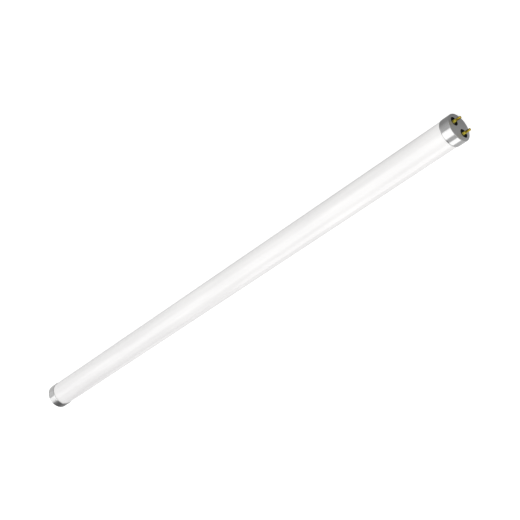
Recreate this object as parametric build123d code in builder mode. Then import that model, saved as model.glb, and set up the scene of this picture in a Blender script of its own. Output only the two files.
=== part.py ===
from build123d import *
import math
import os

os.makedirs("parts", exist_ok=True)

# Tubular LED lamp of the 26 mm (T8) size, 600 mm long, with a two-pin cap at each end.
# The lamp lies along X, its origin is the middle of its axis, and its light leaves towards +Z.
# The near end, at +X, takes the mains. All sizes are in millimetres.

# Lamp over the two cap faces
face_to_face = 589.8

# Glass tube, with each end drawn in to a neck
glass_diameter = 25.0
glass_wall = 0.8
neck_drop = 0.5
neck_length = 3.0
shoulder_length = 2.0

# Aluminium cap shell
cap_length = 10.2
cap_wall = 0.35
cap_fit_gap = 0.15
cap_corner_radius = 0.5
rim_roll_length = 1.6
rim_edge_thickness = 0.2
rim_clearance = 0.05
contact_hole_diameter = 8.2

# Contact pins
pin_spacing = 12.7
pin_diameter = 2.35
pin_length = 7.1
pin_tip_bevel = 0.5
pin_root_diameter = 2.8
pin_flare_length = 0.9
pin_bore_diameter = 1.6
pin_bore_depth = 4.2
rivet_diameter = 4.2
rivet_thickness = 0.45
pin_clearance = 0.02

# Moulded insulator behind each cap face
insulator_thickness = 3.0
insulator_clearance = 0.1
pocket_depth = 0.65
pocket_overlap = 0.2
boss_diameter = 5.4
boss_height = 1.25
barrier_thickness = 1.0
barrier_width = 9.0
barrier_height = 4.0
spigot_wall = 1.1
spigot_height = 3.0
spigot_clearance = 0.3
spigot_slot_width = 2.0
spigot_slot_count = 6
glass_end_clearance = 0.2

# Cement between the glass neck and the cap skirt
cement_length = 2.6
cement_clearance = 0.05
cement_set_back = 0.5

# LED board and the silicone bed that holds it
board_width = 10.0
board_thickness = 1.0
board_end_gap = 1.5
bed_clearance = 0.05
bed_set_back = 2.0

# LED packages
led_length = 3.5
led_width = 2.8
led_height = 0.8
led_frame_wall = 0.4
led_cavity_depth = 0.5
led_cavity_taper = 20
led_pitch = 11.5
first_led_after_driver = 12.0
last_led_margin = 4.0

# Driver board and its sleeve
driver_board_length = 54.0
driver_board_thickness = 1.0
driver_board_drop = 4.0
driver_board_inset = 2.0
driver_edge_clearance = 0.25
sleeve_wall = 0.2
sleeve_clearance = 0.25
sleeve_overhang = 1.0
sleeve_header_gap = 0.8
lead_diameter = 0.6
lead_hole_clearance = 0.15
lead_protrusion = 0.8
lead_sides = 6

# Insulated wires
wire_diameter = 1.3
wire_core_diameter = 0.7
wire_bend_radius = 3.0
link_bend_radius = 4.5
wire_bare_length = 4.6
wire_jacket_gap = 0.8
wire_hole_clearance = 0.1
wire_row_inset = 4.0
wire_sides = 8

# Two-pin header that carries the driver board's far end on the LED board
header_pitch = 2.54
header_pin_size = 0.64
header_inset = 2.2
header_block_length = 2.5
header_block_width = 5.1
header_clearance = 0.08

# Places that follow from the sizes above
half_length = face_to_face / 2
glass_radius = glass_diameter / 2
glass_inner_radius = glass_radius - glass_wall
neck_radius = glass_radius - neck_drop
neck_inner_radius = neck_radius - glass_wall
cap_inner_radius = glass_radius + cap_fit_gap
cap_radius = cap_inner_radius + cap_wall
insulator_back = cap_wall + insulator_thickness
glass_end = insulator_back + glass_end_clearance
shoulder_end = glass_end + neck_length + shoulder_length
board_start = shoulder_end + board_end_gap
board_half_length = half_length - board_start
board_bottom = -math.sqrt(glass_inner_radius**2 - (board_width / 2) ** 2) + 2 * bed_clearance
board_top = board_bottom + board_thickness
sleeve_radius = neck_inner_radius - sleeve_clearance
sleeve_floor = board_top + sleeve_clearance
driver_top = -driver_board_drop
driver_bottom = driver_top - driver_board_thickness
driver_start = board_start + driver_board_inset
driver_end = driver_start + driver_board_length
sleeve_inner_radius = sleeve_radius - sleeve_wall
driver_half_width = math.sqrt(sleeve_inner_radius**2 - driver_bottom**2) - driver_edge_clearance
pocket_floor = cap_wall + pocket_depth
boss_top = insulator_back + boss_height
rivet_top = boss_top + rivet_thickness
pin_radius = pin_diameter / 2
wire_radius = wire_diameter / 2
wire_core_radius = wire_core_diameter / 2
lead_radius = lead_diameter / 2
lead_hole_radius = lead_radius + lead_hole_clearance
header_hole_size = header_pin_size + 2 * header_clearance
pin_side = pin_spacing / 2


def at(depth):
    """X of a point at the given depth behind the near cap's face."""
    return half_length - depth


def axial_plane(y=0):
    """Plane through the lamp's length at the given Y: its own x runs along X and its y along Z."""
    return Plane(origin=(0, y, 0), x_dir=(1, 0, 0), z_dir=(0, -1, 0))


def save(piece, name):
    """Label a finished piece and write its file."""
    piece.part.label = name
    export_step(piece.part, f"parts/{name}.step")


def far_copy(near_piece, name):
    """The far end's piece is the near end's, seen in a mirror at the middle of the lamp."""
    with BuildPart() as piece:
        mirror(near_piece.part, about=Plane.YZ)
    save(piece, name)
    return piece


# Glass tube: one drawn tube. Its wall is a closed profile turned about the axis. Each end tapers
# through a shoulder to a neck.
def glass_side(radius, end):
    """Points along one side of the wall, from the far end to the near end, at the given radius."""
    neck = radius - neck_drop
    taper_start = end - neck_length
    taper_end = taper_start - shoulder_length
    return [
        (-end, neck),
        (-taper_start, neck),
        (-taper_end, radius),
        (taper_end, radius),
        (taper_start, neck),
        (end, neck),
    ]


glass_half_length = half_length - glass_end

with BuildPart() as glass_tube:
    with BuildSketch(axial_plane()):
        with BuildLine():
            outer_side = glass_side(glass_radius, glass_half_length)
            inner_side = glass_side(glass_inner_radius, glass_half_length)
            Polyline(*outer_side, *reversed(inner_side), close=True)
        make_face()
    revolve(axis=Axis.X)
save(glass_tube, "glass_tube")


# Cap shell: a cup drawn from aluminium sheet. Its face has two round holes, its corner is tight,
# drawn as two flats on its radius, and its rim tapers in to a thin edge that almost touches the
# glass.
rim_inner_radius = glass_radius + rim_clearance
rim_outer_radius = rim_inner_radius + rim_edge_thickness
corner_middle_drop = cap_corner_radius * (1 - math.sqrt(0.5))

with BuildPart() as near_cap_shell:
    with BuildSketch(axial_plane()):
        with BuildLine():
            Polyline(
                (at(0), 0),
                (at(0), cap_radius - cap_corner_radius),
                (at(corner_middle_drop), cap_radius - corner_middle_drop),
                (at(cap_corner_radius), cap_radius),
                (at(cap_length - rim_roll_length), cap_radius),
                (at(cap_length), rim_outer_radius),
                (at(cap_length), rim_inner_radius),
                (at(cap_length - rim_roll_length / 2), cap_inner_radius),
                (at(cap_corner_radius), cap_inner_radius),
                (at(cap_wall), cap_inner_radius - (cap_corner_radius - cap_wall)),
                (at(cap_wall), 0),
                close=True,
            )
        make_face()
    revolve(axis=Axis.X)
    with BuildSketch(Plane.YZ.offset(at(cap_wall))):
        with GridLocations(pin_spacing, 0, 2, 1):
            Circle(contact_hole_diameter / 2)
    extrude(amount=cap_wall, mode=Mode.SUBTRACT)
save(near_cap_shell, "near_cap_shell")
far_cap_shell = far_copy(near_cap_shell, "far_cap_shell")


# Insulator: a moulded disc that fills the cap behind its face. A round pocket under each hole sets
# the pin's root back from the metal. Behind, each pin has a boss, a barrier rib stands between
# them, and a slotted spigot centres the disc in the glass neck.
insulator_radius = cap_inner_radius - insulator_clearance
insulator_corner = cap_corner_radius - cap_wall + insulator_clearance
spigot_radius = neck_inner_radius - spigot_clearance
spigot_middle_radius = spigot_radius - spigot_wall / 2
pocket_radius = contact_hole_diameter / 2 + pocket_overlap

with BuildPart() as near_insulator:
    with BuildSketch(Plane.YZ.offset(at(insulator_back))):
        Circle(insulator_radius)
    extrude(amount=insulator_thickness)
    chamfer(edges().group_by(Axis.X)[-1], insulator_corner)
    with BuildSketch(Plane.YZ.offset(at(pocket_floor))):
        with GridLocations(pin_spacing, 0, 2, 1):
            Circle(pocket_radius)
    extrude(amount=pocket_depth, mode=Mode.SUBTRACT)
    with BuildSketch(Plane.YZ.offset(at(insulator_back))):
        Circle(spigot_radius)
        Circle(spigot_radius - spigot_wall, mode=Mode.SUBTRACT)
        with PolarLocations(spigot_middle_radius, spigot_slot_count):
            Rectangle(2 * spigot_wall, spigot_slot_width, mode=Mode.SUBTRACT)
    extrude(amount=-spigot_height)
    with BuildSketch(Plane.YZ.offset(at(insulator_back))):
        Rectangle(barrier_thickness, barrier_width)
    extrude(amount=-barrier_height)
    with BuildSketch(Plane.YZ.offset(at(insulator_back))):
        with GridLocations(pin_spacing, 0, 2, 1):
            Circle(boss_diameter / 2)
    extrude(amount=-boss_height)
    with BuildSketch(Plane.YZ.offset(at(boss_top))):
        with GridLocations(pin_spacing, 0, 2, 1):
            Circle(pin_root_diameter / 2 + pin_clearance)
    extrude(amount=boss_top, mode=Mode.SUBTRACT)
save(near_insulator, "near_insulator")
far_insulator = far_copy(near_insulator, "far_insulator")


# Contact pin: turned from brass, with a bevelled tip. It flares out in the pocket to its thicker
# root, which fills the insulator, and its back end is rolled over the boss like a rivet. The lead's
# core is crimped in the bore there.
def contact_pin(name, y, end):
    """A pin at the given Y. end is 1 at the near end and -1 at the far end."""
    bore_end = rivet_top - pin_bore_depth
    bore_radius = pin_bore_diameter / 2
    root_radius = pin_root_diameter / 2
    rivet_radius = rivet_diameter / 2
    with BuildPart() as pin:
        with BuildSketch(axial_plane(y)):
            with BuildLine():
                Polyline(
                    (end * at(bore_end), 0),
                    (end * at(bore_end), bore_radius),
                    (end * at(rivet_top), bore_radius),
                    (end * at(rivet_top), rivet_radius),
                    (end * at(boss_top), rivet_radius),
                    (end * at(boss_top), root_radius),
                    (end * at(pocket_floor), root_radius),
                    (end * at(pocket_floor - pin_flare_length), pin_radius),
                    (end * at(pin_tip_bevel - pin_length), pin_radius),
                    (end * at(-pin_length), pin_radius - pin_tip_bevel),
                    (end * at(-pin_length), 0),
                    close=True,
                )
            make_face()
        revolve(axis=Axis((0, y, 0), (1, 0, 0)))
    save(pin, name)
    return pin


live_pin = contact_pin("live_pin", pin_side, 1)
neutral_pin = contact_pin("neutral_pin", -pin_side, 1)
far_pin_left = contact_pin("far_pin_left", pin_side, -1)
far_pin_right = contact_pin("far_pin_right", -pin_side, -1)


# Cap cement: a ring of adhesive that fills the space between the glass neck and the cap skirt.
with BuildPart() as near_cap_cement:
    with BuildSketch(Plane.YZ.offset(at(glass_end + cement_set_back))):
        Circle(cap_inner_radius - cement_clearance)
        Circle(neck_radius + cement_clearance, mode=Mode.SUBTRACT)
    extrude(amount=-cement_length)
save(near_cap_cement, "near_cap_cement")
far_cap_cement = far_copy(near_cap_cement, "far_cap_cement")


# LED board: one aluminium-core strip between the two glass shoulders, with holes for the two
# header pins that come down from the driver board.
header_place = driver_end - header_inset

with BuildPart() as led_board:
    with BuildSketch(Plane.XY.offset(board_bottom)):
        Rectangle(2 * board_half_length, board_width)
        with Locations((at(header_place), 0)):
            with GridLocations(0, header_pitch, 1, 2):
                Rectangle(header_hole_size, header_hole_size, mode=Mode.SUBTRACT)
    extrude(amount=board_thickness)
save(led_board, "led_board")


# Silicone bed: fills the space between the flat board and the round inside of the glass.
with BuildPart() as board_adhesive:
    with BuildSketch(Plane.YZ.offset(-board_half_length + bed_set_back)):
        Circle(glass_inner_radius - bed_clearance)
        with Locations((0, board_bottom)):
            Rectangle(
                glass_diameter, glass_diameter, align=(Align.CENTER, Align.MIN), mode=Mode.SUBTRACT
            )
    extrude(amount=2 * (board_half_length - bed_set_back))
save(board_adhesive, "board_adhesive")


# LED packages: a row of white frames, each with a sloping cavity filled with phosphor.
first_led = driver_end + first_led_after_driver
last_led = face_to_face - board_start - last_led_margin
led_count = int((last_led - first_led) / led_pitch) + 1
led_places = [(at(first_led + number * led_pitch), 0) for number in range(led_count)]
cavity_length = led_length - 2 * led_frame_wall
cavity_width = led_width - 2 * led_frame_wall
led_top = board_top + led_height

with BuildPart() as led_frames:
    with BuildSketch(Plane.XY.offset(board_top)):
        with Locations(*led_places):
            Rectangle(led_length, led_width)
    extrude(amount=led_height)
    with BuildSketch(Plane.XY.offset(led_top)):
        with Locations(*led_places):
            Rectangle(cavity_length, cavity_width)
    extrude(amount=-led_cavity_depth, taper=led_cavity_taper, mode=Mode.SUBTRACT)
save(led_frames, "led_frames")

with BuildPart() as led_phosphors:
    with BuildSketch(Plane.XY.offset(led_top)):
        with Locations(*led_places):
            Rectangle(cavity_length, cavity_width)
    extrude(amount=-led_cavity_depth, taper=led_cavity_taper)
save(led_phosphors, "led_phosphors")


# Driver parts: each one's size and place on the board, as its depth behind the near face and its Y,
# which is a share of the board's half width.
mains_wire_place = driver_start + wire_row_inset

fuse_place = (driver_start + 11.0, 0.6 * driver_half_width)
fuse_body_length = 6.5
fuse_body_diameter = 2.6
fuse_waist_diameter = 2.2
fuse_bulge_length = 1.3
fuse_taper_length = 0.65
fuse_lead_pitch = 10.0

varistor_place = (driver_start + 10.5, -0.39 * driver_half_width)
varistor_diameter = 7.5
varistor_thickness = 3.4
varistor_edge_ease = 0.8
varistor_lift = 0.8
varistor_lead_pitch = 5.0

film_place = (driver_start + 20.5, 0.0)
film_size = (5.0, 11.0, 9.0)
film_corner_radius = 1.2
film_top_ease = 0.6
film_lead_pitch = 7.5

choke_place = (driver_start + 30.5, 0.0)
choke_diameter = 8.4
choke_post_diameter = 4.2
choke_flange = 1.6
choke_height = 9.2
choke_wire_layers = 1.5
choke_lead_pitch = 5.0
winding_clearance = 0.05

smoothing_place = (driver_start + 36.2, -0.41 * driver_half_width)
smoothing_diameter = 8.0
smoothing_length = 12.0
can_groove_depth = 0.35
can_groove_width = 0.9
can_groove_place = 1.6
can_edge_ease = 0.4
smoothing_lead_pitch = 3.5
smoothing_lead_reach = 1.2
seat_clearance = 0.1

output_place = (driver_start + 44.0, 0.475 * driver_half_width)
output_diameter = 5.0
output_height = 8.0
output_lead_pitch = 2.0

package_edge_ease = 0.25
package_foot_length = 0.85
package_foot_thickness = 0.25
bridge_place = (driver_start + 6.0, 0.0)
bridge_size = (4.8, 4.0, 1.5)
bridge_leads_per_side = 2
bridge_lead_pitch = 2.5
bridge_lead_width = 0.6
chip_place = (driver_start + 25.5, 0.0)
chip_size = (4.9, 3.9, 1.4)
chip_leads_per_side = 4
chip_lead_pitch = 1.27
chip_lead_width = 0.42
diode_place = (driver_start + 40.0, 0.27 * driver_half_width)
diode_size = (4.3, 2.6, 1.6)
diode_lead_width = 1.4

resistor_size = (2.0, 1.25, 0.5)
resistor_pitch = 3.0
resistor_count = 5
resistor_place = (driver_start + 45.5, -0.49 * driver_half_width)

leg_bottom = driver_bottom - lead_protrusion


def leg_pair(place, pitch, across=False):
    """The places of two legs, along the board or, with across, over its width."""
    depth, y = place
    along = 0 if across else pitch / 2
    over = pitch / 2 if across else 0
    return [(at(depth - along), y - over), (at(depth + along), y + over)]


fuse_legs = leg_pair(fuse_place, fuse_lead_pitch)
varistor_legs = leg_pair(varistor_place, varistor_lead_pitch, across=True)
film_legs = leg_pair(film_place, film_lead_pitch, across=True)
choke_legs = leg_pair(choke_place, choke_lead_pitch, across=True)
smoothing_legs = leg_pair(smoothing_place, smoothing_lead_pitch, across=True)
output_legs = leg_pair(output_place, output_lead_pitch)
leg_places = fuse_legs + varistor_legs + film_legs + choke_legs + smoothing_legs + output_legs
wire_places = [(at(mains_wire_place), pin_side), (at(mains_wire_place), -pin_side)]


# Driver board: a glass-fibre board as wide as its sleeve lets it be, with a hole for each leg. Legs
# and their holes are drawn six-sided, because there are many of them.
with BuildPart() as driver_board:
    with BuildSketch(Plane.XY.offset(driver_bottom)):
        with Locations((at((driver_start + driver_end) / 2), 0)):
            Rectangle(driver_board_length, 2 * driver_half_width)
        with Locations(*leg_places):
            RegularPolygon(lead_hole_radius, lead_sides, mode=Mode.SUBTRACT)
        with Locations(*wire_places):
            RegularPolygon(wire_core_radius + wire_hole_clearance, wire_sides, mode=Mode.SUBTRACT)
        with Locations((at(header_place), 0)):
            with GridLocations(0, header_pitch, 1, 2):
                Rectangle(header_hole_size, header_hole_size, mode=Mode.SUBTRACT)
    extrude(amount=driver_board_thickness)
save(driver_board, "driver_board")


# Driver sleeve: polyester film, round to suit the glass neck and flat where it lies on the board.
# It stops short of the header, which stands on the LED board.
sleeve_start = driver_start - sleeve_overhang
sleeve_end = header_place - header_block_length / 2 - sleeve_header_gap

with BuildPart() as driver_sleeve:
    with BuildSketch(Plane.YZ.offset(at(sleeve_end))):
        Circle(sleeve_radius)
        with Locations((0, sleeve_floor)):
            Rectangle(
                2 * sleeve_radius, sleeve_radius, align=(Align.CENTER, Align.MAX), mode=Mode.SUBTRACT
            )
        offset(amount=-sleeve_wall, kind=Kind.INTERSECTION, mode=Mode.SUBTRACT)
    extrude(amount=sleeve_end - sleeve_start)
save(driver_sleeve, "driver_sleeve")


# Header: a moulded block between the two boards, on two square pins that are soldered in both.
with BuildPart() as header_block:
    with BuildSketch(Plane.XY.offset(board_top)):
        with Locations((at(header_place), 0)):
            Rectangle(header_block_length, header_block_width)
            with GridLocations(0, header_pitch, 1, 2):
                Rectangle(header_pin_size, header_pin_size, mode=Mode.SUBTRACT)
    extrude(amount=driver_bottom - board_top)
    chamfer(edges().filter_by(Axis.Z).group_by(Axis.X)[-1], header_pin_size / 2)
save(header_block, "header_block")

with BuildPart() as header_pins:
    with BuildSketch(Plane.XY.offset(board_bottom + header_clearance)):
        with Locations((at(header_place), 0)):
            with GridLocations(0, header_pitch, 1, 2):
                Rectangle(header_pin_size, header_pin_size)
    extrude(amount=driver_top + lead_protrusion - board_bottom - header_clearance)
save(header_pins, "header_pins")


# Fusible resistor: a bone-shaped body lying over the board on two bent legs.
with BuildPart() as fusible_resistor:
    fuse_x = at(fuse_place[0])
    fuse_y = fuse_place[1]
    fuse_axis_height = driver_top + fuse_body_diameter / 2 + seat_clearance
    with BuildSketch(Plane(origin=(fuse_x, fuse_y, fuse_axis_height), x_dir=(1, 0, 0), z_dir=(0, -1, 0))):
        with BuildLine():
            half_body = fuse_body_length / 2
            Polyline(
                (-half_body, 0),
                (-half_body, fuse_body_diameter / 2),
                (-half_body + fuse_bulge_length, fuse_body_diameter / 2),
                (fuse_taper_length + fuse_bulge_length - half_body, fuse_waist_diameter / 2),
                (half_body - fuse_bulge_length - fuse_taper_length, fuse_waist_diameter / 2),
                (half_body - fuse_bulge_length, fuse_body_diameter / 2),
                (half_body, fuse_body_diameter / 2),
                (half_body, 0),
                close=True,
            )
        make_face()
    revolve(axis=Axis((fuse_x, fuse_y, fuse_axis_height), (1, 0, 0)))
    with BuildLine():
        fuse_leg_route = Polyline(
            (*fuse_legs[0], leg_bottom),
            (*fuse_legs[0], fuse_axis_height),
            (*fuse_legs[1], fuse_axis_height),
            (*fuse_legs[1], leg_bottom),
        )
    with BuildSketch(Plane(origin=fuse_leg_route @ 0, z_dir=fuse_leg_route % 0)):
        RegularPolygon(lead_radius, lead_sides)
    sweep(path=fuse_leg_route, transition=Transition.RIGHT)
save(fusible_resistor, "fusible_resistor")


# Varistor: a coated disc standing on its two legs.
with BuildPart() as varistor:
    disc_height = driver_top + varistor_lift + varistor_diameter / 2
    with BuildSketch(Plane.YZ.offset(at(varistor_place[0]) - varistor_thickness / 2)):
        with Locations((varistor_place[1], disc_height)):
            Circle(varistor_diameter / 2)
    extrude(amount=varistor_thickness)
    chamfer(edges().filter_by(GeomType.CIRCLE), varistor_edge_ease)
    with BuildSketch(Plane.XY.offset(leg_bottom)):
        with Locations(*varistor_legs):
            RegularPolygon(lead_radius, lead_sides)
    extrude(amount=disc_height - leg_bottom)
save(varistor, "varistor")


# Film capacitor: a dipped block with rounded corners.
with BuildPart() as film_capacitor:
    with BuildSketch(Plane.XY.offset(driver_top)):
        with Locations((at(film_place[0]), film_place[1])):
            RectangleRounded(film_size[0], film_size[1], film_corner_radius)
    extrude(amount=film_size[2])
    chamfer(faces().sort_by(Axis.Z)[-1].edges(), film_top_ease)
    with BuildSketch(Plane.XY.offset(leg_bottom)):
        with Locations(*film_legs):
            RegularPolygon(lead_radius, lead_sides)
    extrude(amount=driver_top - leg_bottom)
save(film_capacitor, "film_capacitor")


# Choke: a ferrite drum core with its copper winding between the flanges.
choke_x = at(choke_place[0])
choke_axis = Axis((choke_x, choke_place[1], 0), (0, 0, 1))
choke_plane = Plane(origin=(choke_x, choke_place[1], driver_top), x_dir=(1, 0, 0), z_dir=(0, -1, 0))

with BuildPart() as choke_core:
    with BuildSketch(choke_plane):
        with BuildLine():
            Polyline(
                (0, 0),
                (choke_diameter / 2, 0),
                (choke_diameter / 2, choke_flange),
                (choke_post_diameter / 2, choke_flange),
                (choke_post_diameter / 2, choke_height - choke_flange),
                (choke_diameter / 2, choke_height - choke_flange),
                (choke_diameter / 2, choke_height),
                (0, choke_height),
                close=True,
            )
        make_face()
    revolve(axis=choke_axis)
    with BuildSketch(Plane.XY.offset(leg_bottom)):
        with Locations(*choke_legs):
            RegularPolygon(lead_radius, lead_sides)
    extrude(amount=driver_top - leg_bottom)
save(choke_core, "choke_core")

with BuildPart() as choke_winding:
    with BuildSketch(Plane.XY.offset(driver_top + choke_flange)):
        with Locations((choke_x, choke_place[1])):
            Circle(choke_post_diameter / 2 + winding_clearance + choke_wire_layers)
            Circle(choke_post_diameter / 2 + winding_clearance, mode=Mode.SUBTRACT)
    extrude(amount=choke_height - 2 * choke_flange)
save(choke_winding, "choke_winding")


# Electrolytic capacitor: a can with a rolled groove near its seal and a round edge at its top.
def can_profile(plane, diameter, length):
    """Half the can's outline. The plane's x runs along the can, from its seal to its top."""
    radius = diameter / 2
    groove_end = can_groove_place + can_groove_width
    groove_middle = can_groove_place + can_groove_width / 2
    with BuildSketch(plane) as profile:
        with BuildLine():
            Polyline(
                (0, 0),
                (0, radius),
                (can_groove_place, radius),
                (groove_middle, radius - can_groove_depth),
                (groove_end, radius),
                (length - can_edge_ease, radius),
                (length, radius - can_edge_ease),
                (length, 0),
                close=True,
            )
        make_face()
    return profile.sketch


# Smoothing capacitor: lies along the board, with its two legs bent down at its seal.
smoothing_height = driver_top + smoothing_diameter / 2 + seat_clearance
smoothing_seal = at(smoothing_place[0] + smoothing_lead_reach)
smoothing_origin = (smoothing_seal, smoothing_place[1], smoothing_height)
smoothing_plane = Plane(origin=smoothing_origin, x_dir=(-1, 0, 0), z_dir=(0, 1, 0))
smoothing_profile = can_profile(smoothing_plane, smoothing_diameter, smoothing_length)

with BuildPart() as smoothing_capacitor:
    revolve(smoothing_profile, axis=Axis(smoothing_origin, (1, 0, 0)))
    for leg_x, leg_y in smoothing_legs:
        with BuildLine():
            leg_route = Polyline(
                (smoothing_seal, leg_y, smoothing_height),
                (leg_x, leg_y, smoothing_height),
                (leg_x, leg_y, leg_bottom),
            )
        with BuildSketch(Plane(origin=leg_route @ 0, z_dir=leg_route % 0)):
            RegularPolygon(lead_radius, lead_sides)
        sweep(path=leg_route, transition=Transition.RIGHT)
save(smoothing_capacitor, "smoothing_capacitor")


# Output capacitor: a smaller can that stands on the board.
output_origin = (at(output_place[0]), output_place[1], driver_top)
output_plane = Plane(origin=output_origin, x_dir=(0, 0, 1), z_dir=(0, 1, 0))
output_profile = can_profile(output_plane, output_diameter, output_height)

with BuildPart() as output_capacitor:
    revolve(output_profile, axis=Axis(output_origin, (0, 0, 1)))
    with BuildSketch(Plane.XY.offset(leg_bottom)):
        with Locations(*output_legs):
            RegularPolygon(lead_radius, lead_sides)
    extrude(amount=driver_top - leg_bottom)
save(output_capacitor, "output_capacitor")


# Flat packages under the driver board: a moulded body with flat tin-plated feet on two sides.
def flat_package(name, place, size, leads_per_side, lead_pitch, lead_width):
    """A package that hangs from the driver board's lower side."""
    length, width, height = size
    place_on_board = (at(place[0]), place[1])
    with BuildPart() as package:
        with BuildSketch(Plane.XY.offset(driver_bottom)):
            with Locations(place_on_board):
                Rectangle(length, width)
        extrude(amount=-height)
        chamfer(faces().sort_by(Axis.Z)[0].edges(), package_edge_ease)
        with BuildSketch(Plane.XY.offset(driver_bottom)):
            with Locations(place_on_board):
                with GridLocations(lead_pitch, width + package_foot_length, leads_per_side, 2):
                    Rectangle(lead_width, package_foot_length)
        extrude(amount=-package_foot_thickness)
    save(package, name)
    return package


bridge_rectifier = flat_package(
    "bridge_rectifier", bridge_place, bridge_size, bridge_leads_per_side, bridge_lead_pitch, bridge_lead_width
)
controller_chip = flat_package(
    "controller_chip", chip_place, chip_size, chip_leads_per_side, chip_lead_pitch, chip_lead_width
)
output_diode = flat_package("output_diode", diode_place, diode_size, 1, 0, diode_lead_width)


# Chip resistors: a row of small ceramic chips under the driver board.
with BuildPart() as chip_resistors:
    with BuildSketch(Plane.XY.offset(driver_bottom)):
        with Locations((at(resistor_place[0]), resistor_place[1])):
            with GridLocations(resistor_pitch, 0, resistor_count, 1):
                Rectangle(resistor_size[1], resistor_size[0])
    extrude(amount=-resistor_size[2])
save(chip_resistors, "chip_resistors")


# Insulated wire: one jacket along its whole route, with a bare core at each end. It is drawn
# eight-sided, as plain as a hidden wire can be.
def wire(name, points, radius, first_bare, last_bare):
    """Sweep a wire along straight runs joined by tangent arcs, and check its volume."""
    radii = [radius] * (len(points) - 2)
    with BuildPart() as piece:
        with BuildLine():
            route = FilletPolyline(*points, radius=radii)
        with BuildSketch(Plane(origin=route @ 0, z_dir=route % 0)) as section:
            RegularPolygon(wire_radius, wire_sides)
        sweep(path=route)
        jacket_volume = piece.part.volume
        with BuildSketch(Plane(origin=route @ 0, z_dir=-(route % 0))):
            RegularPolygon(wire_core_radius, wire_sides)
        extrude(amount=first_bare)
        with BuildSketch(Plane(origin=route @ 1, z_dir=route % 1)):
            RegularPolygon(wire_core_radius, wire_sides)
        extrude(amount=last_bare)
    expected_volume = section.sketch.area * route.length
    print(name, "length", round(route.length, 2), "radii", radii)
    print(name, "volume over section times length", round(jacket_volume / expected_volume, 6))
    save(piece, name)
    return piece


jacket_start = rivet_top + wire_jacket_gap
pad_bare = driver_board_thickness + wire_jacket_gap + lead_protrusion
pad_jacket = driver_top + wire_jacket_gap


def mains_wire(name, y):
    """From a near pin straight in over the driver board, then down to its pad."""
    points = [
        (at(jacket_start), y, 0),
        (at(mains_wire_place), y, 0),
        (at(mains_wire_place), y, pad_jacket),
    ]
    return wire(name, points, wire_bend_radius, wire_bare_length, pad_bare)


live_lead = mains_wire("live_lead", pin_side)
neutral_lead = mains_wire("neutral_lead", -pin_side)


# Shorting link: a wire loop that joins the two far pins behind the far insulator.
link_depth = jacket_start + 2 * link_bend_radius
link_points = [
    (-at(jacket_start), pin_side, 0),
    (-at(link_depth), pin_side, 0),
    (-at(link_depth), -pin_side, 0),
    (-at(jacket_start), -pin_side, 0),
]
shorting_link = wire("shorting_link", link_points, link_bend_radius, wire_bare_length, wire_bare_length)
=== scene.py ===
import math

import bmesh
import bpy
from mathutils import Matrix, Vector


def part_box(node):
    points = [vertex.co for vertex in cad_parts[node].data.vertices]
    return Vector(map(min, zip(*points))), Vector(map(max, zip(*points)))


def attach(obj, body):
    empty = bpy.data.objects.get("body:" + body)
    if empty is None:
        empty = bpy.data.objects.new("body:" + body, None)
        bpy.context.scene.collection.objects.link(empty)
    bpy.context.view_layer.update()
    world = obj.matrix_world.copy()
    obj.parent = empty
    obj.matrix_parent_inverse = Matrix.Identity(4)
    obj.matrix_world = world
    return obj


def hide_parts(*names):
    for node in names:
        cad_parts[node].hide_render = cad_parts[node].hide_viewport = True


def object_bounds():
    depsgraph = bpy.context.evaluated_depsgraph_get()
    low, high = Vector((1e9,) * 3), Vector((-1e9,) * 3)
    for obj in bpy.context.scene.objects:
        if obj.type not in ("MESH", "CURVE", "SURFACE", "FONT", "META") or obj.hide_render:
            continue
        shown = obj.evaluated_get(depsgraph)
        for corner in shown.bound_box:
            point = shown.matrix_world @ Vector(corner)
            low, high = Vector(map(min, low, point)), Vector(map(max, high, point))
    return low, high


# A 26 mm tubular LED lamp, 600 mm long, that lies along X with its pins level. Units are metres.
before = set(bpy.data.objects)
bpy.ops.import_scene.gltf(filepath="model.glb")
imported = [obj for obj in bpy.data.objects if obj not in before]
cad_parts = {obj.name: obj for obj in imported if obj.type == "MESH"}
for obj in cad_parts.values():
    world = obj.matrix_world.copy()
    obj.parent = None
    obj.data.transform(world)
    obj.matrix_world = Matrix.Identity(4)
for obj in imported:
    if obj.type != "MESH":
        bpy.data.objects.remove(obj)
cad_box = [list(corner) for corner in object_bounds()]


# Glass tube
# Drawn soda-lime glass, coated opal white on its inside and polished by the flame outside. Each end
# is drawn in to a neck that a cap covers.
glass_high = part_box("glass_tube")[1]
glass_radius = glass_high.z
glass_end = glass_high.x
glass_wall = 0.0008
neck_drop = 0.0005
neck_length = 0.003
shoulder_length = 0.002
shoulder_bend = shoulder_length / 3
bend_steps = 3
shoulder_smooth_angle = 40
glass_sides = 160
same_place = 0.000001
# The darker coat colour is also painted towards the far end and the lighter one towards the near end:
# painted shade.
coat_dark_and_painted_shade = "#dad9d9"
coat_light_and_painted_light = "#ecebea"
painted_shade_per_metre = 1.0
opal_streak_length = 0.09
opal_streak_width = 0.006
glass_wave_height = 0.00002
polish_smoothest = 0.07
polish_roughest = 0.13
glass_index = 1.52


def linear(hex_colour):
    """An sRGB hex colour as the linear RGBA that the nodes take."""
    channels = [int(hex_colour[place : place + 2], 16) / 255 for place in (1, 3, 5)]
    return (*[c / 12.92 if c <= 0.04045 else ((c + 0.055) / 1.055) ** 2.4 for c in channels], 1.0)


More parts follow.
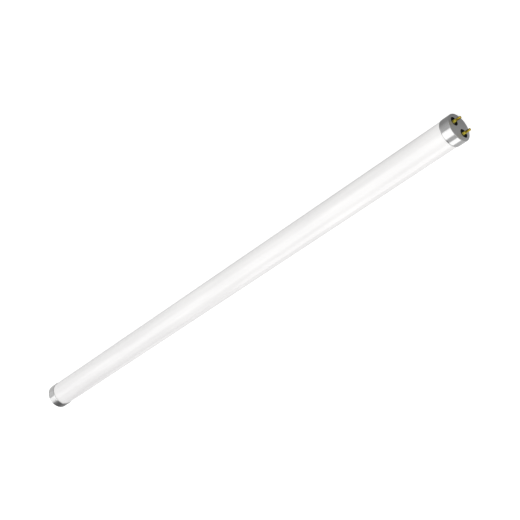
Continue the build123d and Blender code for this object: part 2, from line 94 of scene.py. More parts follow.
def add_node(tree, kind, settings=None, links=None):
    """Add a node, with its sockets and properties set and its inputs linked to other sockets.

    A socket goes by its name, or by its number where several have the same one.
    """
    node = tree.nodes.new(kind)
    for name, value in (settings or {}).items():
        if name == "stops":
            for number, (place, hex_colour) in enumerate(value):
                if number == len(node.color_ramp.elements):
                    node.color_ramp.elements.new(place)
                node.color_ramp.elements[number].position = place
                node.color_ramp.elements[number].color = linear(hex_colour)
        elif isinstance(name, int) or name in node.inputs:
            node.inputs[name].default_value = value
        else:
            setattr(node, name, value)
    for name, source in (links or {}).items():
        tree.links.new(source, node.inputs[name])
    return node


def empty_material(name):
    """A material with no nodes yet, and its node tree."""
    material = bpy.data.materials.new(name)
    material.use_nodes = True
    material.node_tree.nodes.clear()
    return material, material.node_tree


def start_cylinder(radius, low_x, high_x, sides, ends="NGON", y=0.0):
    """A new cylinder along X, the only thing selected, with its place in its mesh."""
    bpy.ops.object.select_all(action="DESELECT")
    bpy.ops.mesh.primitive_cylinder_add(
        vertices=sides,
        radius=radius,
        depth=high_x - low_x,
        end_fill_type=ends,
        location=((low_x + high_x) / 2, y, 0),
        rotation=(0, math.radians(90), 0),
    )
    bpy.ops.object.transform_apply()
    return bpy.context.object


def choose(piece, kind, test):
    """In edit mode, select the faces, edges or vertices whose every point passes the test."""
    bpy.ops.mesh.select_mode(type=kind)
    bpy.ops.mesh.select_all(action="DESELECT")
    shape = bmesh.from_edit_mesh(piece.data)
    parts = {"VERT": shape.verts, "EDGE": shape.edges, "FACE": shape.faces}[kind]
    for part in parts:
        points = [part.co] if kind == "VERT" else [vertex.co for vertex in part.verts]
        if all(test(point) for point in points):
            part.select_set(True)
    shape.select_flush_mode()
    bmesh.update_edit_mesh(piece.data)


def at_x(x):
    """A test for choose: whether a point lies at this X."""
    return lambda point: abs(point.x - x) < same_place


def draw_rim(piece, rim_x, step, factor):
    """In edit mode, draw the open rim at one X out along the lamp by a step, and narrow it."""
    choose(piece, "EDGE", at_x(rim_x))
    bpy.ops.mesh.extrude_edges_move(TRANSFORM_OT_translate={"value": (step, 0, 0)})
    bpy.ops.transform.resize(value=(1, factor, factor), center_override=(rim_x + step, 0, 0))


def give_wall(piece, thickness):
    """Give an open shell its wall, inwards from the surface that was modelled."""
    wall = piece.modifiers.new("wall", "SOLIDIFY")
    wall.thickness = thickness
    wall.offset = -1
    wall.use_even_offset = True
    bpy.ops.object.modifier_apply(modifier="wall")


def hand_over(piece, name, material, node):
    """Name a finished piece, give it its material, and let it stand for its CAD node."""
    piece.name = name
    piece.data.name = name
    piece.data.materials.clear()
    piece.data.materials.append(material)
    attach(piece, "root")
    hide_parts(node)


shoulder_end = glass_end - neck_length
shoulder_start = shoulder_end - shoulder_length
neck_factor = (glass_radius - neck_drop) / glass_radius

glass_tube = start_cylinder(glass_radius, -shoulder_start, shoulder_start, glass_sides, ends="NOTHING")
bpy.ops.object.mode_set(mode="EDIT")
for end in (-1, 1):
    draw_rim(glass_tube, end * shoulder_start, end * shoulder_length, neck_factor)
    draw_rim(glass_tube, end * shoulder_end, end * neck_length, 1)
    for bend in (end * shoulder_start, end * shoulder_end):
        choose(glass_tube, "EDGE", at_x(bend))
        bpy.ops.mesh.bevel(offset=shoulder_bend, segments=bend_steps)
bpy.ops.object.mode_set(mode="OBJECT")
give_wall(glass_tube, glass_wall)
bpy.ops.object.shade_smooth_by_angle(angle=math.radians(shoulder_smooth_angle))

# Opal-coated glass: the coat is washed on inside with the tube upright, so its white has faint
# streaks along the tube. It is also painted darker towards the far end and lighter towards the near
# end, as painted shade. The outside is fire polished, which gives clear reflections with a slight waviness.
opal_glass, tree = empty_material("opal_coated_glass")
place = add_node(tree, "ShaderNodeTexCoord")
streaks = add_node(
    tree,
    "ShaderNodeMapping",
    {"Scale": (1 / opal_streak_length, 1 / opal_streak_width, 1 / opal_streak_width)},
    {"Vector": place.outputs["Object"]},
)
coat = add_node(
    tree,
    "ShaderNodeTexNoise",
    {"Scale": 1.0, "Detail": 3.0, "Roughness": 0.45},
    {"Vector": streaks.outputs["Vector"]},
)
along_tube = add_node(tree, "ShaderNodeSeparateXYZ", links={"Vector": place.outputs["Object"]})
# Adding X to the streaks paints the coat darker towards the far end and lighter towards the near end:
# painted shade.
coat_streaks_and_painted_shade = add_node(
    tree,
    "ShaderNodeMath",
    {"operation": "MULTIPLY_ADD", 1: painted_shade_per_metre},
    {0: along_tube.outputs["X"], 2: coat.outputs["Fac"]},
)
coat_colour_with_painted_shade = add_node(
    tree,
    "ShaderNodeValToRGB",
    {"stops": [(0.05, coat_dark_and_painted_shade), (0.95, coat_light_and_painted_light)]},
    {"Fac": coat_streaks_and_painted_shade.outputs["Value"]},
)
polish = add_node(
    tree,
    "ShaderNodeMapRange",
    {"To Min": polish_smoothest, "To Max": polish_roughest},
    {"Value": coat.outputs["Fac"]},
)
waves = add_node(
    tree,
    "ShaderNodeBump",
    {"Distance": glass_wave_height, "Strength": 0.5},
    {"Height": coat.outputs["Fac"]},
)
glass = add_node(
    tree,
    "ShaderNodeBsdfPrincipled",
    {"IOR": glass_index},
    {
        "Base Color": coat_colour_with_painted_shade.outputs["Color"],
        "Roughness": polish.outputs["Result"],
        "Normal": waves.outputs["Normal"],
    },
)
add_node(tree, "ShaderNodeOutputMaterial", links={"Surface": glass.outputs["BSDF"]})
hand_over(glass_tube, "opal_glass_tube", opal_glass, "glass_tube")


# Cap shells
# Each end has a cup drawn from aluminium sheet, with a rounded corner, a rim rolled in against the
# glass and two round holes for the pins. It is cemented on the neck of the glass.
cap_low, cap_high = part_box("near_cap_shell")
cap_radius = cap_high.z
cap_face = cap_high.x
cap_rim = cap_low.x
sheet_thickness = 0.00035
cap_corner = 0.0005
corner_steps = 6
rim_roll_length = 0.0016
rim_roll_drop = 0.00025
rim_roll_steps = 5
contact_hole_radius = 0.0041
contact_hole_edge = 0.00012
hole_edge_steps = 3
hole_edge_reach = 0.00001
pin_side = 0.00635
cap_sides = 144
hole_sides = 64
sharp_angle = 35
wall_shade = "#adadad"
wall_light = "#b8b8b8"
wall_roughness = 0.16
# The face's two greys are darker than the wall's: painted shade.
face_painted_shade_dark = "#a2a2a2"
face_painted_shade_light = "#adadad"
face_roughness = 0.55
sheet_grain = 0.00025
sheet_grain_height = 0.000004
draw_line_length = 0.008
draw_line_width = 0.0003


def select_only(piece):
    """Select one piece and nothing else, and make it the active one."""
    bpy.ops.object.select_all(action="DESELECT")
    piece.select_set(True)
    bpy.context.view_layer.objects.active = piece


def on_hole_edge(point):
    """Whether a point lies on the outer edge of either contact hole."""
    from_hole = math.hypot(abs(point.y) - pin_side, point.z)
    return abs(point.x - cap_face) < same_place and from_hole < contact_hole_radius + hole_edge_reach


def finish_mesh(piece):
    """Shade a piece smooth, with its sharp edges kept, and let large faces set the normals."""
    bpy.ops.object.shade_smooth_by_angle(angle=math.radians(sharp_angle))
    weighting = piece.modifiers.new("weighting", "WEIGHTED_NORMAL")
    weighting.keep_sharp = True
    bpy.ops.object.modifier_apply(modifier="weighting")


def far_end_copy(piece):
    """A copy of a near-end piece with a mesh of its own, turned round to the far end."""
    select_only(piece)
    bpy.ops.object.duplicate()
    copy = bpy.context.object
    copy.rotation_euler = (0, 0, math.radians(180))
    bpy.ops.object.transform_apply()
    return copy


roll_start = cap_rim + rim_roll_length
near_cap = start_cylinder(cap_radius, roll_start, cap_face, cap_sides)
bpy.ops.object.mode_set(mode="EDIT")
choose(near_cap, "FACE", at_x(roll_start))
bpy.ops.mesh.delete(type="ONLY_FACE")
choose(near_cap, "EDGE", at_x(cap_face))
bpy.ops.mesh.bevel(offset=cap_corner, segments=corner_steps, profile=0.5)
rim_x = roll_start
rim_radius = cap_radius
for step in range(1, rim_roll_steps + 1):
    turn = math.radians(90) * step / rim_roll_steps
    next_x = roll_start - rim_roll_length * math.sin(turn)
    next_radius = cap_radius - rim_roll_drop * (1 - math.cos(turn))
    draw_rim(near_cap, rim_x, next_x - rim_x, next_radius / rim_radius)
    rim_x = next_x
    rim_radius = next_radius
bpy.ops.object.mode_set(mode="OBJECT")
give_wall(near_cap, sheet_thickness)
punch_start = cap_face - cap_corner
punch_end = cap_face + cap_corner
for y in (-pin_side, pin_side):
    punch = start_cylinder(contact_hole_radius, punch_start, punch_end, hole_sides, y=y)
    select_only(near_cap)
    hole = near_cap.modifiers.new("hole", "BOOLEAN")
    hole.object = punch
    hole.operation = "DIFFERENCE"
    hole.solver = "EXACT"
    bpy.ops.object.modifier_apply(modifier="hole")
    bpy.data.objects.remove(punch)
bpy.ops.object.mode_set(mode="EDIT")
choose(near_cap, "EDGE", on_hole_edge)
bpy.ops.mesh.bevel(offset=contact_hole_edge, segments=hole_edge_steps)
bpy.ops.object.mode_set(mode="OBJECT")
finish_mesh(near_cap)
far_cap = far_end_copy(near_cap)

# Drawn aluminium: the die irons the wall smooth, with lines along the lamp. The face is rougher, and
# its grey is painted darker than the wall's, as painted shade. Its grain and the lines are too fine to
# see, so they are drawn 0.25 and 0.3 mm wide.
drawn_aluminium, tree = empty_material("drawn_aluminium")
place = add_node(tree, "ShaderNodeTexCoord")
lines = add_node(
    tree,
    "ShaderNodeMapping",
    {"Scale": (1 / draw_line_length, 1 / draw_line_width, 1 / draw_line_width)},
    {"Vector": place.outputs["Object"]},
)
draw_lines = add_node(
    tree,
    "ShaderNodeTexNoise",
    {"Scale": 1.0, "Detail": 2.0},
    {"Vector": lines.outputs["Vector"]},
)
grain = add_node(
    tree,
    "ShaderNodeTexNoise",
    {"Scale": 1 / sheet_grain, "Detail": 2.0},
    {"Vector": place.outputs["Object"]},
)
wall_colour = add_node(
    tree,
    "ShaderNodeValToRGB",
    {"stops": [(0.3, wall_shade), (0.7, wall_light)]},
    {"Fac": draw_lines.outputs["Fac"]},
)
# The face's colour is painted darker than the wall's: painted shade.
face_painted_shade_colour = add_node(
    tree,
    "ShaderNodeValToRGB",
    {"stops": [(0.3, face_painted_shade_dark), (0.7, face_painted_shade_light)]},
    {"Fac": grain.outputs["Fac"]},
)
spot = add_node(tree, "ShaderNodeSeparateXYZ", links={"Vector": place.outputs["Object"]})
from_middle = add_node(tree, "ShaderNodeMath", {"operation": "ABSOLUTE"}, {"Value": spot.outputs["X"]})
wall_ends = cap_face - cap_corner / 2
face_begins = cap_face - cap_corner / 8
on_face = add_node(
    tree,
    "ShaderNodeMapRange",
    {"From Min": wall_ends, "From Max": face_begins},
    {"Value": from_middle.outputs["Value"]},
)
metal_colour = add_node(
    tree,
    "ShaderNodeMixRGB",
    links={
        "Fac": on_face.outputs["Result"],
        "Color1": wall_colour.outputs["Color"],
        "Color2": face_painted_shade_colour.outputs["Color"],
    },
)
metal_roughness = add_node(
    tree,
    "ShaderNodeMapRange",
    {"To Min": wall_roughness, "To Max": face_roughness},
    {"Value": on_face.outputs["Result"]},
)
relief = add_node(
    tree,
    "ShaderNodeBump",
    {"Distance": sheet_grain_height, "Strength": 0.4},
    {"Height": grain.outputs["Fac"]},
)
aluminium = add_node(
    tree,
    "ShaderNodeBsdfPrincipled",
    {"Metallic": 1.0},
    {
        "Base Color": metal_colour.outputs["Color"],
        "Roughness": metal_roughness.outputs["Result"],
        "Normal": relief.outputs["Normal"],
    },
)
add_node(tree, "ShaderNodeOutputMaterial", links={"Surface": aluminium.outputs["BSDF"]})
hand_over(near_cap, "near_cap_cup", drawn_aluminium, "near_cap_shell")
hand_over(far_cap, "far_cap_cup", drawn_aluminium, "far_cap_shell")


# Contact pins
# Four brass pins, turned from bar, with a rounded tip. Each flares out to a thicker root, which
# sits in the insulator and is rolled over the boss like a rivet, round the bore for the wire.
pin_low, pin_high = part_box("live_pin")
pin_radius = 0.001175
pin_tip_round = 0.0007
tip_steps = 6
pin_root_radius = 0.0014
pin_flare_length = 0.0009
pin_bore_radius = 0.0008
pin_bore_depth = 0.0042
rivet_radius = (pin_high.z - pin_low.z) / 2
rivet_thickness = 0.00045
pocket_depth = 0.001
pocket_floor = cap_face - pocket_depth
pin_sides = 48
# The pin's colours lie in bands: a painted highlight at the root, painted shade on the shaft, a lighter
# painted highlight at the tip.
root_painted_highlight_dark = "#e8d84c"
root_painted_highlight_light = "#f8ec6c"
root_share = 0.3
root_roughness = 0.65
shaft_painted_shade_dark = "#7e6d1c"
shaft_painted_shade_light = "#a5912c"
shaft_share = 0.48
shaft_roughness = 0.18
tip_painted_highlight_dark = "#ac9534"
tip_painted_highlight_light = "#ccb24e"
tip_share = 0.78
tool_ring_pitch = 0.0012566
tool_ring_height = 0.000003
tarnish_spots_per_metre = 900.0


def turn_pin(y):
    """A pin at the near end: its shaft, then its root, rivet head and bore at the back."""
    flare_end = pocket_floor + pin_flare_length
    pin = start_cylinder(pin_radius, flare_end, pin_high.x, pin_sides, y=y)
    bpy.ops.object.mode_set(mode="EDIT")
    choose(pin, "EDGE", at_x(pin_high.x))
    bpy.ops.mesh.bevel(offset=pin_tip_round, segments=tip_steps)
    choose(pin, "FACE", at_x(flare_end))
    rivet_face = pin_low.x + rivet_thickness
    steps = [
        (-pin_flare_length, pin_root_radius / pin_radius),
        (rivet_face - pocket_floor, 1),
        (0, rivet_radius / pin_root_radius),
        (-rivet_thickness, 1),
        (0, pin_bore_radius / rivet_radius),
        (pin_bore_depth, 1),
    ]
    back_x = flare_end
    for step, factor in steps:
        bpy.ops.mesh.extrude_region_move(TRANSFORM_OT_translate={"value": (step, 0, 0)})
        back_x += step
        bpy.ops.transform.resize(value=(1, factor, factor), center_override=(back_x, y, 0))
    bpy.ops.object.mode_set(mode="OBJECT")
    finish_mesh(pin)
    return pin


# Turned brass: matt at the root, which the riveting works, and smooth along the shaft. Its colour is
# painted in bands along the pin: a painted highlight at the root, painted shade along the shaft and a
# lighter painted highlight at the tip, with random tarnish between two tones. The tool rings are too fine
# to see, so they are drawn 1.26 mm apart. Blender's wave texture turns through 20 radians in one unit of
# its scale.
turned_brass, tree = empty_material("turned_brass")
wave_radians = 20
rings_per_unit = wave_radians / (2 * math.pi)
place = add_node(tree, "ShaderNodeTexCoord")
rings = add_node(
    tree,
    "ShaderNodeTexWave",
    {
        "bands_direction": "X",
        "Scale": 1 / (rings_per_unit * tool_ring_pitch),
        "Distortion": 1.5,
        "Detail": 2.0,
    },
    {"Vector": place.outputs["Object"]},
)
tarnish = add_node(
    tree,
    "ShaderNodeTexNoise",
    {"Scale": tarnish_spots_per_metre, "Detail": 3.0},
    {"Vector": place.outputs["Object"]},
)
spot = add_node(tree, "ShaderNodeSeparateXYZ", links={"Vector": place.outputs["Object"]})
from_middle = add_node(tree, "ShaderNodeMath", {"operation": "ABSOLUTE"}, {"Value": spot.outputs["X"]})
along = add_node(
    tree,
    "ShaderNodeMapRange",
    {"From Min": pocket_floor, "From Max": pin_high.x},
    {"Value": from_middle.outputs["Value"]},
)
# These two ramps paint the bands along the pin, darker and lighter tone: painted highlight, painted shade,
# painted highlight.
painted_bands_dark = add_node(
    tree,
    "ShaderNodeValToRGB",
    {
        "stops": [
            (root_share, root_painted_highlight_dark),
            (shaft_share, shaft_painted_shade_dark),
            (tip_share, shaft_painted_shade_dark),
            (1.0, tip_painted_highlight_dark),
        ]
    },
    {"Fac": along.outputs["Result"]},
)
light = add_node(
    tree,
    "ShaderNodeValToRGB",
    {
        "stops": [
            (root_share, root_painted_highlight_light),
            (shaft_share, shaft_painted_shade_light),
            (tip_share, shaft_painted_shade_light),
            (1.0, tip_painted_highlight_light),
        ]
    },
    {"Fac": along.outputs["Result"]},
)
brass_colour_with_painted_light = add_node(
    tree,
    "ShaderNodeMixRGB",
    links={
        "Fac": tarnish.outputs["Fac"],
        "Color1": painted_bands_dark.outputs["Color"],
        "Color2": light.outputs["Color"],
    },
)
brass_roughness = add_node(
    tree,
    "ShaderNodeMapRange",
    {
        "From Min": root_share,
        "From Max": shaft_share,
        "To Min": root_roughness,
        "To Max": shaft_roughness,
    },
    {"Value": along.outputs["Result"]},
)
ring_relief = add_node(
    tree,
    "ShaderNodeBump",
    {"Distance": tool_ring_height, "Strength": 0.3},
    {"Height": rings.outputs["Fac"]},
)
brass = add_node(
    tree,
    "ShaderNodeBsdfPrincipled",
    {"Metallic": 1.0},
    {
        "Base Color": brass_colour_with_painted_light.outputs["Color"],
        "Roughness": brass_roughness.outputs["Result"],
        "Normal": ring_relief.outputs["Normal"],
    },
)
add_node(tree, "ShaderNodeOutputMaterial", links={"Surface": brass.outputs["BSDF"]})

live_pin = turn_pin(pin_side)
neutral_pin = turn_pin(-pin_side)
far_left_pin = far_end_copy(neutral_pin)
far_right_pin = far_end_copy(live_pin)
hand_over(live_pin, "live_contact_pin", turned_brass, "live_pin")
hand_over(neutral_pin, "neutral_contact_pin", turned_brass, "neutral_pin")
hand_over(far_left_pin, "far_left_contact_pin", turned_brass, "far_pin_left")
hand_over(far_right_pin, "far_right_contact_pin", turned_brass, "far_pin_right")


# Insulators
# A black moulded disc behind each cap face carries the two pins, and its slotted spigot centres it
# in the glass neck. It shows through the two round holes, where each pin stands in a pocket.
def dress(node, material):
    """Give a CAD node its material."""
    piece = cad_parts[node]
    piece.data.materials.clear()
    piece.data.materials.append(material)


def fine_grained(name, dark, light, grain, relief, roughness, **shader):
    """A material whose colour and relief follow a fine grain, of a width and height in metres.

    The grain of moulded pieces is too fine to see, so it is drawn 0.2 or 0.3 mm wide.
    """
    material, tree = empty_material(name)
    place = add_node(tree, "ShaderNodeTexCoord")
    grains = add_node(
        tree, "ShaderNodeTexNoise", {"Scale": 1 / grain, "Detail": 3.0}, {"Vector": place.outputs["Object"]}
    )
    colour = add_node(
        tree, "ShaderNodeValToRGB", {"stops": [(0.3, dark), (0.7, light)]}, {"Fac": grains.outputs["Fac"]}
    )
    bump = add_node(
        tree, "ShaderNodeBump", {"Distance": relief, "Strength": 0.5}, {"Height": grains.outputs["Fac"]}
    )
    surface = add_node(
        tree,
        "ShaderNodeBsdfPrincipled",
        {"Roughness": roughness, **shader},
        {"Base Color": colour.outputs["Color"], "Normal": bump.outputs["Normal"]},
    )
    add_node(tree, "ShaderNodeOutputMaterial", links={"Surface": surface.outputs["BSDF"]})
    return material


# Moulded polyester: black and matt. The grain of its eroded mould traps light, so it mirrors little.
moulded_polyester = fine_grained(
    "moulded_polyester",
    "#050505",
    "#0a0a0a",
    grain=0.0003,
    relief=0.00001,
    roughness=0.8,
    **{"IOR": 1.5, "Specular IOR Level": 0.2},
)
dress("near_insulator", moulded_polyester)
dress("far_insulator", moulded_polyester)


# Cap cement
# A ring of cream-coloured capping cement holds each cup to the neck of the glass. It is cured by
# heat, so it is chalky and full of fine pores.
capping_cement = fine_grained(
    "capping_cement", "#b8ab90", "#d2c7ae", grain=0.0006, relief=0.00005, roughness=0.85
)
dress("near_cap_cement", capping_cement)
dress("far_cap_cement", capping_cement)


# LED board
# One aluminium strip with a white solder mask, bedded in pale silicone along the inside of the
# glass. The mask is sprayed, so it has a fine orange peel.
white_solder_mask = fine_grained(
    "white_solder_mask", "#dcdcd6", "#ecece8", grain=0.0008, relief=0.000015, roughness=0.35, IOR=1.5
)
bedding_silicone = fine_grained(
    "bedding_silicone", "#c9c9c6", "#dadad8", grain=0.002, relief=0.00004, roughness=0.3, IOR=1.41
)
dress("led_board", white_solder_mask)
dress("board_adhesive", bedding_silicone)


# LED packages
# A row of white moulded frames, soldered along the board. Each is filled with silicone gel, which
# carries a fine yellow phosphor powder.
led_frame_moulding = fine_grained(
    "led_frame_moulding", "#e6e5df", "#f0efea", grain=0.0002, relief=0.000004, roughness=0.4
)
phosphor_gel = fine_grained(
    "phosphor_gel", "#d9b32a", "#efd35c", grain=0.00008, relief=0.000004, roughness=0.3, IOR=1.41
)
dress("led_frames", led_frame_moulding)
dress("led_phosphors", phosphor_gel)


# Driver board and sleeve
# A glass-fibre board with a green solder mask, inside a sleeve of white polyester film that
# insulates it from the LED board. The mask is half matt, and the film is smooth and glossy.
glass_fibre_board = fine_grained(
    "glass_fibre_board", "#0f4a24", "#1a6433", grain=0.0004, relief=0.00001, roughness=0.4, IOR=1.55
)
polyester_film = fine_grained(
    "polyester_film", "#d9dad9", "#e8e9e8", grain=0.003, relief=0.00002, roughness=0.22, IOR=1.64
)
dress("driver_board", glass_fibre_board)
dress("driver_sleeve", polyester_film)


# Parts on the driver board
# The parts with wire legs sit on the board's upper side, and the flat ones hang under it. Most are
# dipped in lacquer or epoxy, moulded, or sleeved with film that is shrunk on.
dress(
    "fusible_resistor",
    fine_grained("resistor_lacquer", "#4d6b58", "#5d7d68", grain=0.0004, relief=0.00001, roughness=0.35),
)
dress(
    "varistor",
    fine_grained("blue_epoxy_dip", "#163a78", "#1f4b92", grain=0.0009, relief=0.00003, roughness=0.3),
)
dress(
    "film_capacitor",
    fine_grained("red_epoxy_dip", "#7a2016", "#93291c", grain=0.0009, relief=0.00002, roughness=0.25),
)
dress(
    "smoothing_capacitor",
    fine_grained("shrunk_sleeve_black", "#0f1114", "#1b1e24", grain=0.002, relief=0.00001, roughness=0.25),
)
dress(
    "output_capacitor",
    fine_grained("shrunk_sleeve_brown", "#2c1d16", "#3a281f", grain=0.002, relief=0.00001, roughness=0.25),
)
dress(
    "choke_core",
    fine_grained("sintered_ferrite", "#1d1d1f", "#2c2c2e", grain=0.0002, relief=0.00001, roughness=0.6),
)
dress(
    "bridge_rectifier",
    fine_grained("epoxy_moulding", "#121212", "#1d1d1d", grain=0.0002, relief=0.000006, roughness=0.6),
)
dress(
    "controller_chip",
    fine_grained("chip_moulding", "#101011", "#1a1a1b", grain=0.0002, relief=0.000006, roughness=0.6),
)
dress(
    "output_diode",
    fine_grained("diode_moulding", "#141414", "#1f1f1f", grain=0.0002, relief=0.000006, roughness=0.6),
)
dress(
    "chip_resistors",
    fine_grained("glazed_alumina", "#17171a", "#232327", grain=0.0003, relief=0.000004, roughness=0.3),
)
dress(
    "header_block",
    fine_grained("header_nylon", "#131313", "#1c1c1c", grain=0.0003, relief=0.00001, roughness=0.5),
)
dress(
    "header_pins",
    fine_grained(
        "tinned_bronze", "#b7b5ae", "#cac8c1", grain=0.0004, relief=0.000004, roughness=0.3, Metallic=1.0
    ),
)
dress(
    "choke_winding",
    fine_grained(
        "enamelled_copper", "#8a3f1c", "#b55a2a", grain=0.0004, relief=0.00004, roughness=0.25, Metallic=1.0
    ),
)


# Wires
# Stranded copper in extruded PVC, which is smooth with a slight sheen: brown and blue from the near
# pins to the driver board, and white from one far pin to the other.
dress(
    "live_lead",
    fine_grained("brown_pvc", "#3a2015", "#4a2a1c", grain=0.001, relief=0.00001, roughness=0.35),
)
dress(
    "neutral_lead",
    fine_grained("blue_pvc", "#16407a", "#1e5094", grain=0.001, relief=0.00001, roughness=0.35),
)
dress(
    "shorting_link",
    fine_grained("white_pvc", "#d0d0cc", "#e2e2df", grain=0.001, relief=0.00001, roughness=0.35),
)


# Floor
# White paper that the lamp lies on, wide enough to fill every view. It glows in the picture, and a
# little in mirrors. Metal sees it dim in two parts: behind the lamp (at +Y), towards the near end,
# and in front of the lamp, past the far end.
floor_size = 12.0
floor_colour = "#d2d2d2"
pictured_glow = 0.58
mirrored_glow = 0.1
lamp_line_blend = 0.01
behind_slant = 0.5
dim_behind_start = -0.1
dim_behind_end = 0.25
dim_front_start = -0.305
dim_front_end = -0.325
dim_front_glow = 0.38
dim_behind_glow = 0.6
dim_glow_reach = 0.15

bpy.ops.object.select_all(action="DESELECT")
bpy.ops.mesh.primitive_plane_add(size=floor_size, location=(0, 0, cad_box[0][2]))
floor = bpy.context.object
floor.name = "studio_floor"
white_paper, tree = empty_material("white_paper")
paper = add_node(
    tree, "ShaderNodeBsdfPrincipled", {"Base Color": linear(floor_colour), "Roughness": 0.9, "IOR": 1.3}
)
ray = add_node(tree, "ShaderNodeLightPath")
in_mirror = add_node(
    tree,
    "ShaderNodeMath",
    {"operation": "MAXIMUM"},
    {0: ray.outputs["Is Glossy Ray"], 1: ray.outputs["Is Transmission Ray"]},
)
glow_level = add_node(
    tree,
    "ShaderNodeMapRange",
    {"To Min": 0.0, "To Max": mirrored_glow},
    {"Value": in_mirror.outputs["Value"]},
)
level_seen = add_node(
    tree,
    "ShaderNodeMix",
    {"data_type": "FLOAT", 3: pictured_glow},
    {0: ray.outputs["Is Camera Ray"], 2: glow_level.outputs["Result"]},
)
glow = add_node(tree, "ShaderNodeEmission", links={"Strength": level_seen.outputs[0]})
lit_paper = add_node(
    tree, "ShaderNodeAddShader", links={0: paper.outputs["BSDF"], 1: glow.outputs["Emission"]}
)
place = add_node(tree, "ShaderNodeTexCoord")
spot = add_node(tree, "ShaderNodeSeparateXYZ", links={"Vector": place.outputs["Object"]})
behind = add_node(
    tree,
    "ShaderNodeMapRange",
    {"From Min": -lamp_line_blend, "From Max": lamp_line_blend},
    {"Value": spot.outputs["Y"]},
)
slant = add_node(
    tree,
    "ShaderNodeMath",
    {"operation": "MULTIPLY_ADD", 1: behind_slant},
    {0: spot.outputs["Y"], 2: spot.outputs["X"]},
)
dim_behind = add_node(
    tree,
    "ShaderNodeMapRange",
    {"From Min": dim_behind_start, "From Max": dim_behind_end},
    {"Value": slant.outputs["Value"]},
)
dim_in_front = add_node(
    tree,
    "ShaderNodeMapRange",
    {"From Min": dim_front_start, "From Max": dim_front_end},
    {"Value": spot.outputs["X"]},
)
dim_area = add_node(
    tree,
    "ShaderNodeMix",
    {"data_type": "FLOAT"},
    {0: behind.outputs["Result"], 2: dim_in_front.outputs["Result"], 3: dim_behind.outputs["Result"]},
)
dim_mirrored = add_node(
    tree,
    "ShaderNodeMath",
    {"operation": "MULTIPLY"},
    {0: dim_area.outputs[0], 1: ray.outputs["Is Glossy Ray"]},
)
dim_level = add_node(
    tree,
    "ShaderNodeMapRange",
    {"From Max": dim_glow_reach, "To Min": dim_front_glow, "To Max": dim_behind_glow},
    {"Value": spot.outputs["Y"]},
)
dim = add_node(tree, "ShaderNodeEmission", links={"Strength": dim_level.outputs["Result"]})
both = add_node(
    tree,
    "ShaderNodeMixShader",
    links={0: dim_mirrored.outputs["Value"], 1: lit_paper.outputs["Shader"], 2: dim.outputs["Emission"]},
)
add_node(tree, "ShaderNodeOutputMaterial", links={"Surface": both.outputs["Shader"]})
floor.data.materials.append(white_paper)


# Studio light
# Two large soft boxes, one above and one low in front, at -Y, in a plain pale room. They hang past
# the far end, where the lamp mirrors them to the camera, and the low one ends before the lamp's far
# half would mirror it. The room is brightest past the near end and dim in front, past the far end.
room_level = 0.84
near_end_level = 1.12
near_end_x = (-0.4, 0.1)
behind_share = 0.82
behind_y = (0.76, 0.89)
far_front_level = 0.215
far_behind_level = 1.12
far_across_y = (-0.5, 0.55)
far_end_x = (-0.5, -0.72)
pictured_level = 1.0
soft_box_distance = 3.0
soft_edge = 0.16
panel_middle = 0.5

# The room's level follows the direction looked in. It changes between the two values of that
# direction's X or Y that each pair above holds, and the camera sees plain white instead.
world = bpy.data.worlds.new("studio_room")
bpy.context.scene.world = world
world.use_nodes = True
tree = world.node_tree
tree.nodes.clear()
way = add_node(tree, "ShaderNodeTexCoord")
way_parts = add_node(tree, "ShaderNodeSeparateXYZ", links={"Vector": way.outputs["Generated"]})
open_level = add_node(
    tree,
    "ShaderNodeMapRange",
    {
        "From Min": near_end_x[0],
        "From Max": near_end_x[1],
        "To Min": room_level,
        "To Max": near_end_level,
    },
    {"Value": way_parts.outputs["X"]},
)
behind = add_node(
    tree,
    "ShaderNodeMapRange",
    {"From Min": behind_y[0], "From Max": behind_y[1], "To Min": 1.0, "To Max": behind_share},
    {"Value": way_parts.outputs["Y"]},
)
near_level = add_node(
    tree,
    "ShaderNodeMath",
    {"operation": "MULTIPLY"},
    {0: open_level.outputs["Result"], 1: behind.outputs["Result"]},
)
far_level = add_node(
    tree,
    "ShaderNodeMapRange",
    {
        "From Min": far_across_y[0],
        "From Max": far_across_y[1],
        "To Min": far_front_level,
        "To Max": far_behind_level,
    },
    {"Value": way_parts.outputs["Y"]},
)
far_share = add_node(
    tree,
    "ShaderNodeMapRange",
    {"From Min": far_end_x[0], "From Max": far_end_x[1]},
    {"Value": way_parts.outputs["X"]},
)
level = add_node(
    tree,
    "ShaderNodeMix",
    {"data_type": "FLOAT"},
    {0: far_share.outputs["Result"], 2: near_level.outputs["Value"], 3: far_level.outputs["Result"]},
)
ray = add_node(tree, "ShaderNodeLightPath")
shown_level = add_node(
    tree,
    "ShaderNodeMix",
    {"data_type": "FLOAT", 3: pictured_level},
    {0: ray.outputs["Is Camera Ray"], 2: level.outputs[0]},
)
room = add_node(
    tree, "ShaderNodeBackground", {"Color": (1, 1, 1, 1)}, {"Strength": shown_level.outputs[0]}
)
add_node(tree, "ShaderNodeOutputWorld", links={"Surface": room.outputs["Background"]})


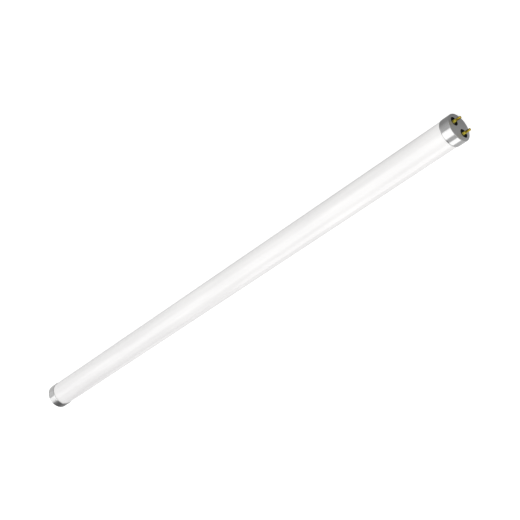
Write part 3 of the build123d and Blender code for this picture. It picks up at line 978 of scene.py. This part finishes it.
def soft_box(name, from_zenith, turn, middle_x, length, width, near_strength, far_strength):
    """A soft box so many degrees from straight above towards -Y, and turned from the lamp's line.

    Its energy goes with its area, so that its brightness doesn't depend on its size. Its own X and Y
    run from 0 to 1, and it fades towards the two edges that run along the lamp.
    """
    light = bpy.data.lights.new(name, "AREA")
    light.shape = "RECTANGLE"
    light.size = length
    light.size_y = width
    light.energy = math.pi * length * width
    light.use_nodes = True
    tree = light.node_tree
    tree.nodes.clear()
    spread = add_node(tree, "ShaderNodeNewGeometry")
    across = add_node(tree, "ShaderNodeSeparateXYZ", links={"Vector": spread.outputs["Parametric"]})
    end_to_end = add_node(
        tree,
        "ShaderNodeMapRange",
        {"To Min": far_strength, "To Max": near_strength},
        {"Value": across.outputs["X"]},
    )
    from_middle = add_node(
        tree,
        "ShaderNodeMath",
        {"operation": "SUBTRACT", 1: panel_middle},
        {0: across.outputs["Y"]},
    )
    off_middle = add_node(
        tree, "ShaderNodeMath", {"operation": "ABSOLUTE"}, {0: from_middle.outputs["Value"]}
    )
    edge = add_node(
        tree,
        "ShaderNodeMapRange",
        {
            "interpolation_type": "SMOOTHSTEP",
            "From Min": panel_middle - soft_edge,
            "From Max": panel_middle,
            "To Min": 1.0,
            "To Max": 0.0,
        },
        {"Value": off_middle.outputs["Value"]},
    )
    strength = add_node(
        tree,
        "ShaderNodeMath",
        {"operation": "MULTIPLY"},
        {0: end_to_end.outputs["Result"], 1: edge.outputs["Result"]},
    )
    glow = add_node(tree, "ShaderNodeEmission", links={"Strength": strength.outputs["Value"]})
    add_node(tree, "ShaderNodeOutputLight", links={"Surface": glow.outputs["Emission"]})
    box = bpy.data.objects.new(name, light)
    bpy.context.scene.collection.objects.link(box)
    angle = math.radians(from_zenith)
    box.location = (middle_x, -soft_box_distance * math.sin(angle), soft_box_distance * math.cos(angle))
    box.rotation_euler = (angle, 0, math.radians(turn))
    box.visible_camera = False


soft_box(
    "soft_box_above",
    from_zenith=-10.5,
    turn=12,
    middle_x=-2.65,
    length=3.3,
    width=3.9,
    near_strength=1.6,
    far_strength=1.2,
)
soft_box(
    "soft_box_low",
    from_zenith=67,
    turn=0,
    middle_x=-1.7,
    length=1.6,
    width=2.5,
    near_strength=1.5,
    far_strength=1.5,
)


# Camera
# A long lens above the near end, turned so that the lamp rises to the right. Its place and its focal
# length come from fitting the lamp's outline.
camera_place = (0.77505, 0.15422, 0.90766)
camera_forward = Vector((-0.62019, -0.13082, -0.77347))
camera_up = Vector((0.43741, 0.76081, -0.47941))
photo_width = 520
focal_pixels = 1256
sensor_width = 36

camera_data = bpy.data.cameras.new("camera")
camera_data.sensor_width = sensor_width
camera_data.lens = sensor_width * focal_pixels / photo_width
camera = bpy.data.objects.new("camera", camera_data)
bpy.context.scene.collection.objects.link(camera)
camera_right = camera_forward.cross(camera_up)
camera.matrix_world = Matrix.Translation(camera_place) @ Matrix(
    (camera_right, camera_up, -camera_forward)
).transposed().to_4x4()
bpy.context.scene.camera = camera
bpy.context.scene.view_settings.view_transform = "Standard"
